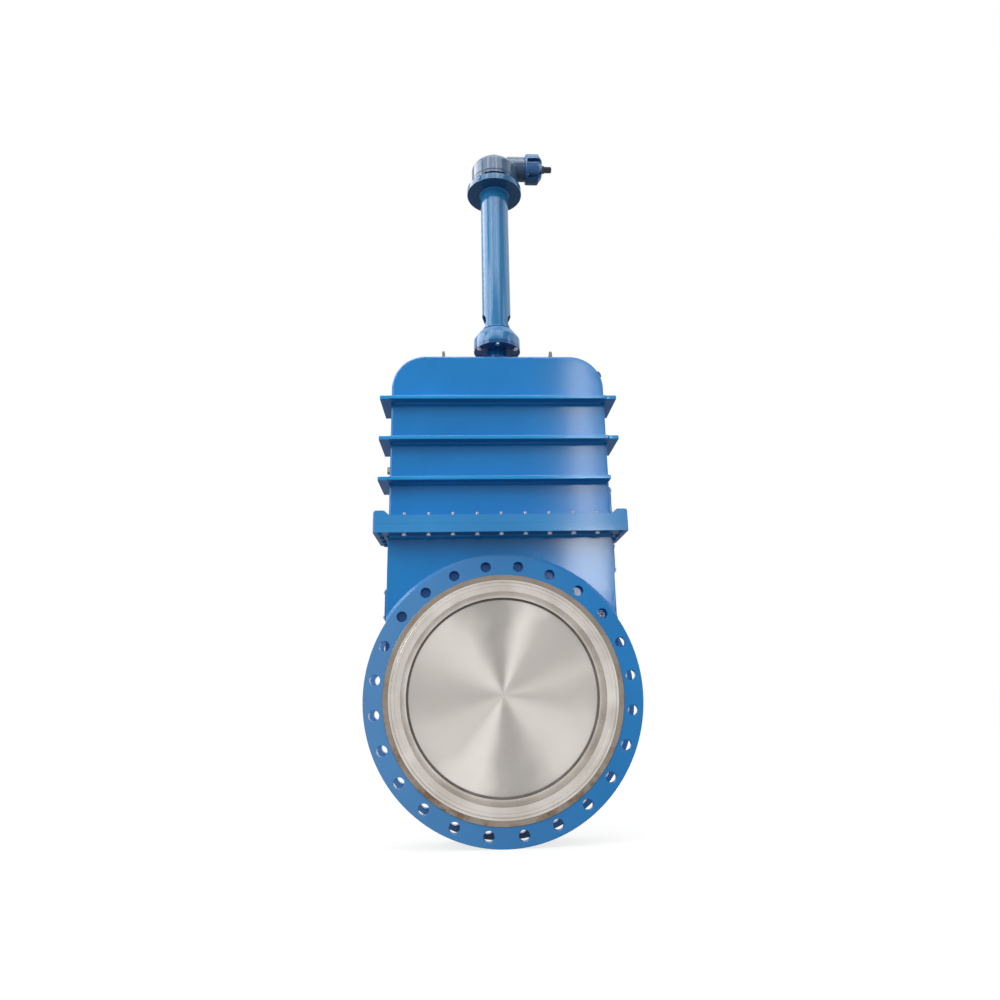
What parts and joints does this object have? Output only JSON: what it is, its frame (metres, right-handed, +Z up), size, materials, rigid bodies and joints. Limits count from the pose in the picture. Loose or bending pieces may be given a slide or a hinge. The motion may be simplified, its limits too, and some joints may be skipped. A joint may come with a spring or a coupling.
{
  "type": "knife gate valve",
  "caption": "Tall flanged knife gate valve: welded blue chest and ribbed bonnet, bright round gate, tubular yoke and bevel gear operator on top.",
  "frame": {"origin": "centre of the bore, midway between the two flange faces", "axes": "+Z up along the stem, +Y through the bore from the pictured face to the rear, +X to the gear operator's input shaft"},
  "size_m": [1.025, 0.2714, 2.924],
  "materials": {
    "blue_paint": "glossy enamel",
    "stainless_gate": "polished stainless plate",
    "stainless_turned": "turned stainless",
    "zinc_steel": "zinc plated",
    "dark_steel": "oiled steel",
    "bearing_steel": "ground",
    "bronze": "machined bronze",
    "yellow_brass": "dull",
    "seal_rubber": "smooth",
    "packing": "braided graphite",
    "gasket": "fibre sheet",
    "guide_plastic": "slippery white plastic",
    "black_plastic": "moulded"
  },
  "bodies": {
    "root": {"body_front_plate": "blue_paint", "body_rear_plate": "blue_paint", "body_side_band": "blue_paint", "body_top_flange": "blue_paint", "bonnet_joint_gasket": "gasket", "bonnet_bottom_flange": "blue_paint", "joint_bolts": "zinc_steel", "front_flange_ring": "blue_paint", "rear_flange_ring": "blue_paint", "front_face_liner": "stainless_turned", "rear_face_liner": "stainless_turned", "front_seat_ring": "stainless_turned", "rear_seat_ring": "stainless_turned", "front_seat_seal": "seal_rubber", "rear_seat_seal": "seal_rubber", "body_gate_guides": "guide_plastic", "bonnet_gate_guides": "guide_plastic", "bonnet_shell": "blue_paint", "lower_rib": "blue_paint", "middle_rib": "blue_paint", "upper_rib": "blue_paint", "stuffing_box": "blue_paint", "packing_rings": "packing", "gland_follower": "stainless_turned", "gland_studs": "zinc_steel", "gland_nuts": "zinc_steel", "yoke_base_flange": "blue_paint", "yoke_tube": "blue_paint", "yoke_head_flange": "blue_paint", "base_bolts": "zinc_steel", "gearbox_base_plate": "blue_paint", "gearbox_housing": "blue_paint", "gearbox_mounting_bolts": "blue_paint", "input_bearing_cap": "blue_paint", "input_cap_bolts": "zinc_steel", "input_bearings": "bearing_steel", "input_shaft_seal": "seal_rubber", "lower_thrust_bearing": "bearing_steel", "upper_thrust_bearing": "bearing_steel", "lifting_eyes": "zinc_steel", "vent_plug": "black_plastic", "flush_plug": "yellow_brass", "side_port_covers": "blue_paint", "port_cover_screws": "zinc_steel", "drain_nipple": "blue_paint", "drain_cap": "black_plastic"},
    "gate": {"gate_plate": "stainless_gate", "gate_clevis": "stainless_turned", "clevis_pin": "stainless_turned", "clevis_split_pin": "stainless_turned", "stem": "stainless_turned"},
    "drive": {"bevel_wheel": "dark_steel", "wheel_key": "dark_steel", "drive_sleeve": "dark_steel", "stem_nut": "bronze"},
    "input": {"bevel_pinion": "dark_steel", "pinion_key": "dark_steel", "input_shaft": "dark_steel"}
  },
  "joints": [
    {"name": "gate_lift", "type": "slide", "parent": "root", "child": "gate", "axis": [0, 0, 1], "range_m": [0, 0.768]},
    {"name": "drive_turn", "type": "hinge", "parent": "root", "child": "drive", "pos_m": [0, 0, 2.31], "axis": [0, 0, 1], "range_deg": [0, 23040]},
    {"name": "input_turn", "type": "hinge", "parent": "root", "child": "input", "pos_m": [0.2, 0, 2.3445], "axis": [1, 0, 0], "range_deg": [0, 69120]}
  ],
  "couplings": [
    {"joint": "drive_turn", "follows": "gate_lift", "rad_per_m": 523.6},
    {"joint": "input_turn", "follows": "gate_lift", "rad_per_m": 1570.8}
  ]
}
